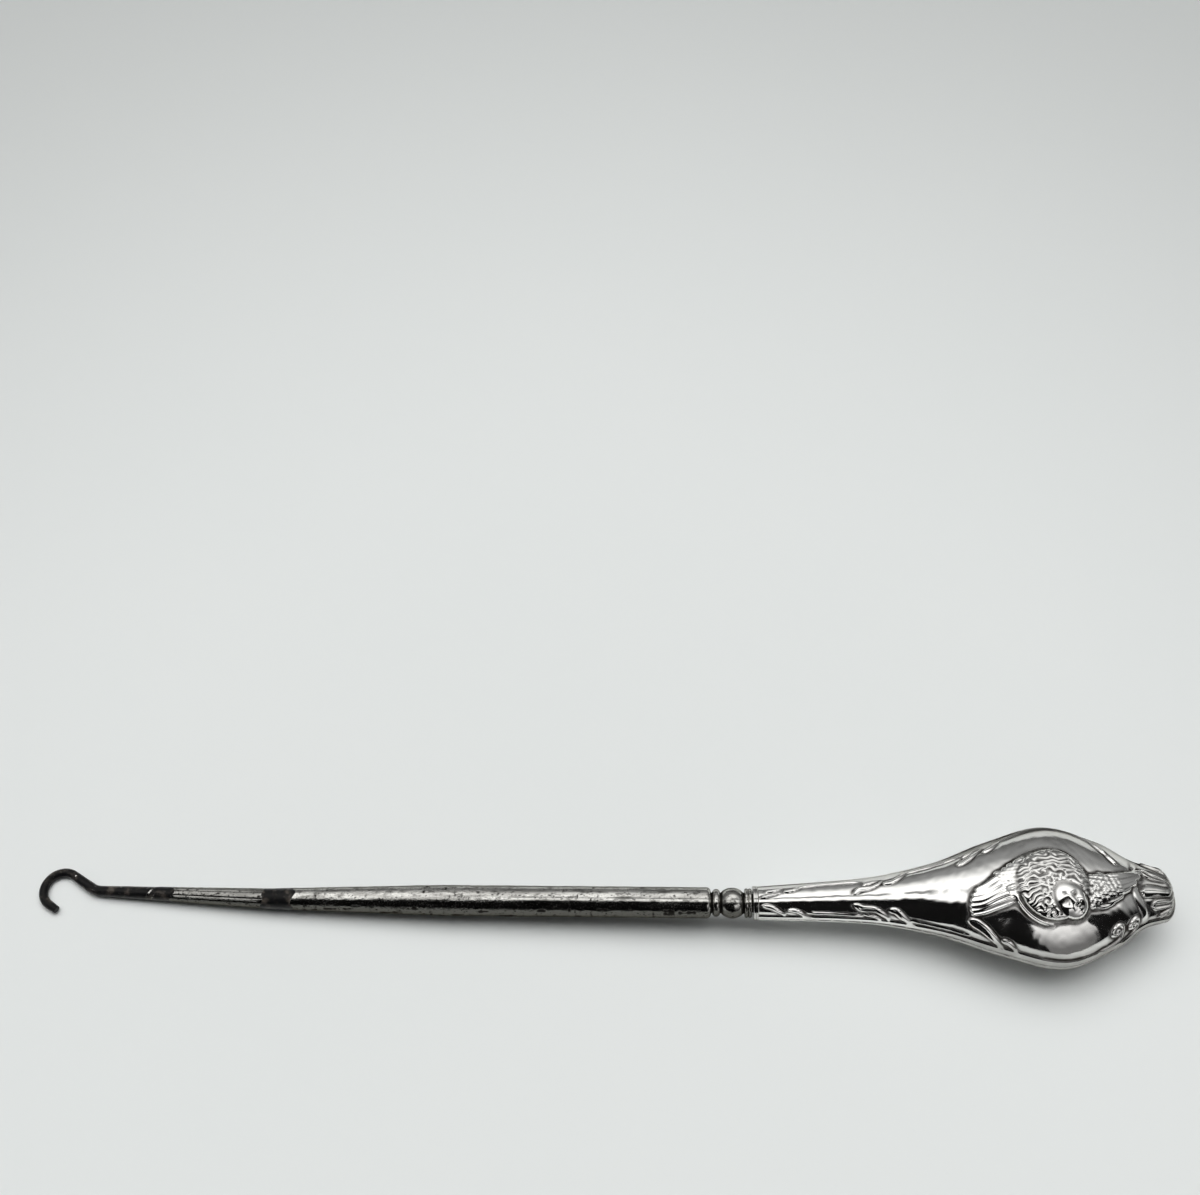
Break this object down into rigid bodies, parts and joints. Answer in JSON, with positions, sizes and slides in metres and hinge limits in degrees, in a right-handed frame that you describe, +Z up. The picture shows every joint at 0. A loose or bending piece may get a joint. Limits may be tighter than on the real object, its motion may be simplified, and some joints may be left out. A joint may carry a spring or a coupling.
{
  "type": "button hook",
  "caption": "Long steel button hook with a turned neck and a hollow, filled silver handle that swells into an oval bulb with a winged head on its front, for pulling shoe and glove buttons through their holes.",
  "frame": {"origin": "on the table, under the middle of the object's box", "axes": "+X along the handle towards its end with the hook at -X, +Z up with the front of the handle upwards"},
  "size_m": [0.2752, 0.0346, 0.0242],
  "materials": {
    "steel": "old bare steel, ground and pitted, with black oxide at the hook",
    "silver": "polished die-stamped silver with dark tarnish in the recesses",
    "solder": "filed silver solder",
    "filling": "hard brown cement of pitch and plaster"
  },
  "bodies": {
    "root": {"hook_shank": "steel", "front_shell": "silver", "back_shell": "silver", "seam_solder": "solder", "mouth_rim": "silver", "handle_filling": "filling"}
  },
  "joints": []
}
